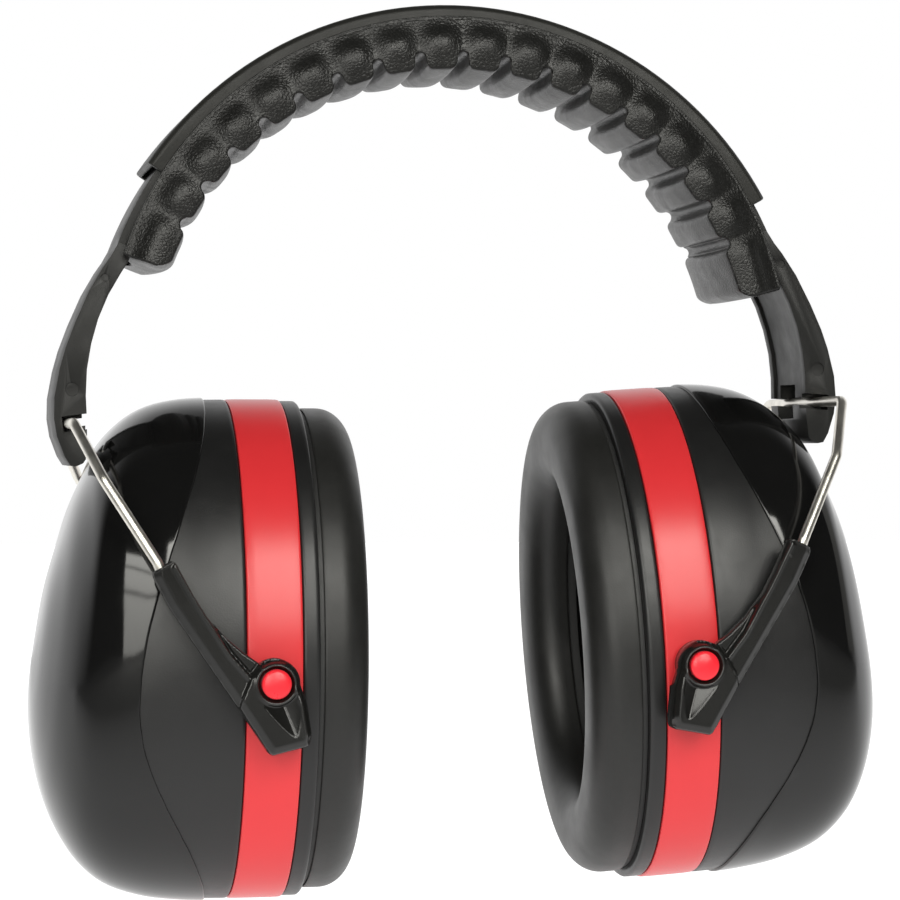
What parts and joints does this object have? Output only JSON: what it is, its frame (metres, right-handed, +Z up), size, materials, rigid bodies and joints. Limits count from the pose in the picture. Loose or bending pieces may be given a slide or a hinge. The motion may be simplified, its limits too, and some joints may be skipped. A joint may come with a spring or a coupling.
{
  "type": "earmuff hearing protector",
  "caption": "Folding over-the-head earmuff with deep oval cups, ring cushions, wire yokes and a ribbed padded headband on sliding arms.",
  "frame": {"origin": "midpoint between the two ear cushions, on the line through both ears", "axes": "+Z up towards the crown, +X the right as seen from the front, -Y the front"},
  "size_m": [0.19, 0.1026, 0.1986],
  "materials": {
    "cover": "satin",
    "spring": "brushed",
    "liner": "matt",
    "leatherette": "soft grained",
    "arm": "satin",
    "wire": "bright drawn",
    "leg": "glossy",
    "pin_red": "glossy",
    "cup_satin": "fine satin texture",
    "stripe_red": "satin",
    "cap_gloss": "glossy",
    "plate": "matt",
    "cushion": "smooth soft vinyl",
    "foam": "open foam"
  },
  "bodies": {
    "headband": {"band_cover": "cover", "band_spring": "spring", "band_liner": "liner", "head_pad": "leatherette"},
    "left_slider": {"left_arm": "arm"},
    "left_yoke": {"left_yoke_wire": "wire", "left_leg_front": "leg", "left_leg_rear": "leg"},
    "left_cup": {"left_pins": "pin_red", "left_cup_base": "cup_satin", "left_stripe": "stripe_red", "left_cap": "cap_gloss", "left_plate": "plate", "left_cushion": "cushion", "left_foam": "foam"},
    "right_slider": {"right_arm": "arm"},
    "right_yoke": {"right_yoke_wire": "wire", "right_leg_front": "leg", "right_leg_rear": "leg"},
    "right_cup": {"right_pins": "pin_red", "right_cup_base": "cup_satin", "right_stripe": "stripe_red", "right_cap": "cap_gloss", "right_plate": "plate", "right_cushion": "cushion", "right_foam": "foam"}
  },
  "joints": [
    {"name": "left_arm_slide", "type": "hinge", "parent": "headband", "child": "left_slider", "pos_m": [-0.002, 0, 0.061], "axis": [0, 1, 0], "range_deg": [-8, 11.5]},
    {"name": "left_fold", "type": "hinge", "parent": "left_slider", "child": "left_yoke", "pos_m": [-0.08665, 0, 0.0497], "axis": [0, -1, 0], "range_deg": [0, 24]},
    {"name": "left_cup_tilt", "type": "hinge", "parent": "left_yoke", "child": "left_cup", "pos_m": [-0.046, 0, -0.00481], "axis": [0, 1, 0], "range_deg": [0, 20]},
    {"name": "right_arm_slide", "type": "hinge", "parent": "headband", "child": "right_slider", "pos_m": [-0.002, 0, 0.061], "axis": [0, -1, 0], "range_deg": [-11.5, 8]},
    {"name": "right_fold", "type": "hinge", "parent": "right_slider", "child": "right_yoke", "pos_m": [0.08318, 0, 0.05489], "axis": [0, 1, 0], "range_deg": [0, 24]},
    {"name": "right_cup_tilt", "type": "hinge", "parent": "right_yoke", "child": "right_cup", "pos_m": [0.046, 0, -0.00204], "axis": [0, -1, 0], "range_deg": [-3.9, 16]}
  ]
}
